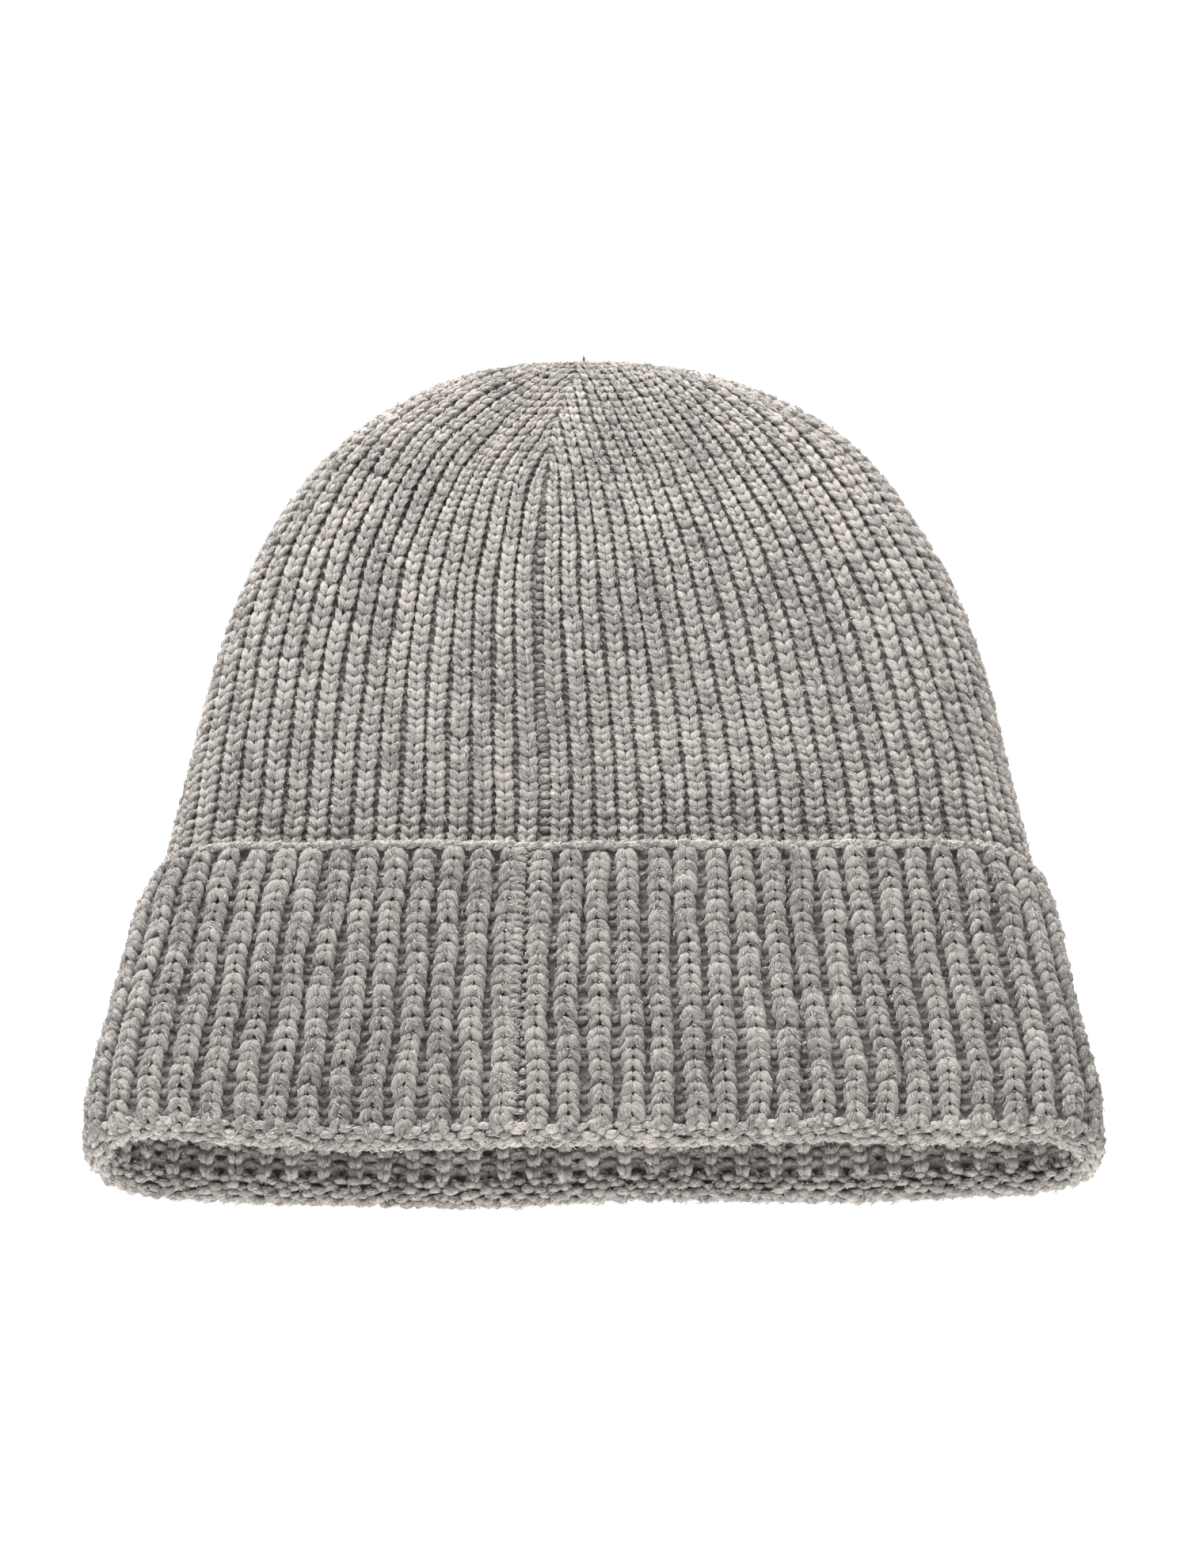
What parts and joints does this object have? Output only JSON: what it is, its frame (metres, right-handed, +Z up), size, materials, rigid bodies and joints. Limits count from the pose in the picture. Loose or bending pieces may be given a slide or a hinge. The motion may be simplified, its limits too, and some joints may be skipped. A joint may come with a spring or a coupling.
{
  "type": "knit beanie",
  "caption": "Rib-knit beanie with a turned-up cuff and a darted crown, lying flat with its back seam on top.",
  "frame": {"origin": "middle of the footprint, on the surface the hat lies on", "axes": "+Z up, +X across the width, +Y from the head opening to the crown"},
  "size_m": [0.2436, 0.224, 0.0374],
  "materials": {
    "body_knit": "matte heather rib knit, face side",
    "cuff_knit": "matte heather rib knit, reverse side",
    "edge_knit": "matte heather knit, rolled or folded edge",
    "inner_knit": "matte heather rib knit, inside",
    "seam_yarn": "matte heather wool yarn"
  },
  "bodies": {
    "root": {"cuff": "cuff_knit", "cast_on_edge": "edge_knit", "turned_edge": "edge_knit", "inner_brim": "inner_knit", "body_panel": "body_knit", "crown_gore_back_left": "body_knit", "crown_gore_back_right": "body_knit", "crown_gore_front_left": "body_knit", "crown_gore_front_right": "body_knit", "crown_gather": "body_knit", "back_seam_yarn": "seam_yarn", "cuff_seam_yarn": "seam_yarn", "seam_allowance": "inner_knit", "dart_seam_left": "inner_knit", "dart_seam_right": "inner_knit", "dart_seam_front": "inner_knit", "yarn_tail": "seam_yarn"}
  },
  "joints": []
}
